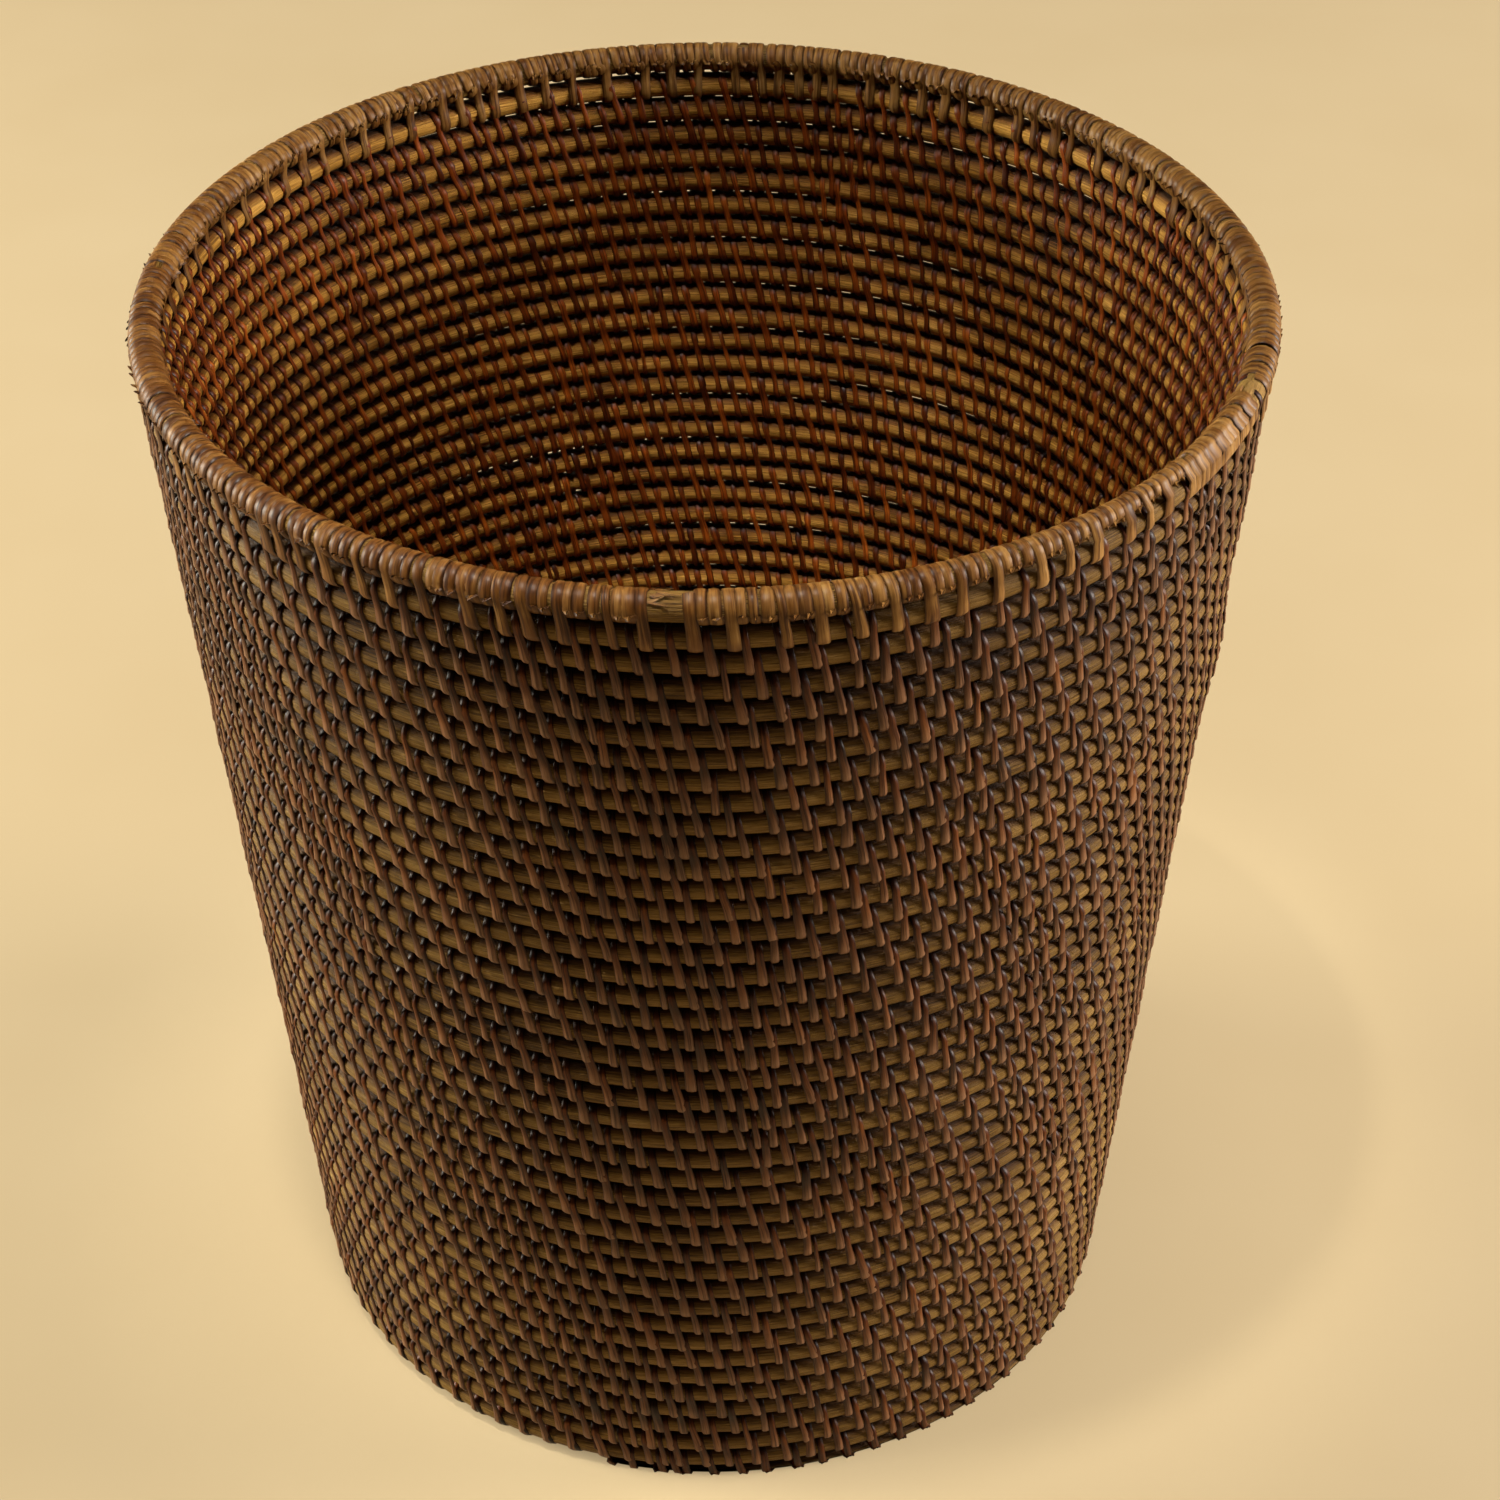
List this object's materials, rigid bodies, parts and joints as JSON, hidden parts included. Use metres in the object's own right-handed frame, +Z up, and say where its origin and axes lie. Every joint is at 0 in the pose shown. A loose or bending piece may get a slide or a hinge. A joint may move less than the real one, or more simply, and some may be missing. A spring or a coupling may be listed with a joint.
{
  "type": "wastebasket",
  "caption": "Open round tapered wastebasket of coiled rattan rod sewn with split rattan, with a wrapped rim.",
  "frame": {"origin": "on the floor, at the basket's own axis", "axes": "+Z up along the basket's axis; the pared end of the rim coil lies between +X and -Y"},
  "size_m": [0.28, 0.28, 0.305],
  "materials": {
    "rattan_core": "matt stained cane",
    "rattan_binder": "satin stained cane skin",
    "rim_binder": "satin stained cane skin"
  },
  "bodies": {
    "root": {"base_binder_center": "rattan_binder", "base_binder_edge": "rattan_binder", "base_binder_middle": "rattan_binder", "base_core_center": "rattan_core", "base_core_edge": "rattan_core", "base_core_middle": "rattan_core", "base_core_wedge": "rattan_core", "foot_binder": "rattan_binder", "foot_wedge": "rattan_core", "rim_binder_tail": "rim_binder", "rim_core": "rattan_core", "rim_scarf_lashing": "rim_binder", "rim_wrap_back": "rim_binder", "rim_wrap_front": "rim_binder", "rim_wrap_left": "rim_binder", "rim_wrap_right": "rim_binder", "top_binder": "rattan_binder", "top_wedge": "rattan_core", "wall_binder_01": "rattan_binder", "wall_binder_02": "rattan_binder", "wall_binder_03": "rattan_binder", "wall_binder_04": "rattan_binder", "wall_binder_05": "rattan_binder", "wall_binder_06": "rattan_binder", "wall_binder_07": "rattan_binder", "wall_binder_08": "rattan_binder", "wall_binder_09": "rattan_binder", "wall_binder_10": "rattan_binder", "wall_binder_11": "rattan_binder", "wall_binder_12": "rattan_binder", "wall_binder_13": "rattan_binder", "wall_binder_14": "rattan_binder", "wall_binder_15": "rattan_binder", "wall_binder_16": "rattan_binder", "wall_binder_17": "rattan_binder", "wall_binder_18": "rattan_binder", "wall_binder_19": "rattan_binder", "wall_binder_20": "rattan_binder", "wall_core_01": "rattan_core", "wall_core_02": "rattan_core", "wall_core_03": "rattan_core", "wall_core_04": "rattan_core", "wall_core_05": "rattan_core", "wall_core_06": "rattan_core", "wall_core_07": "rattan_core", "wall_core_08": "rattan_core", "wall_core_09": "rattan_core", "wall_core_10": "rattan_core"}
  },
  "joints": []
}
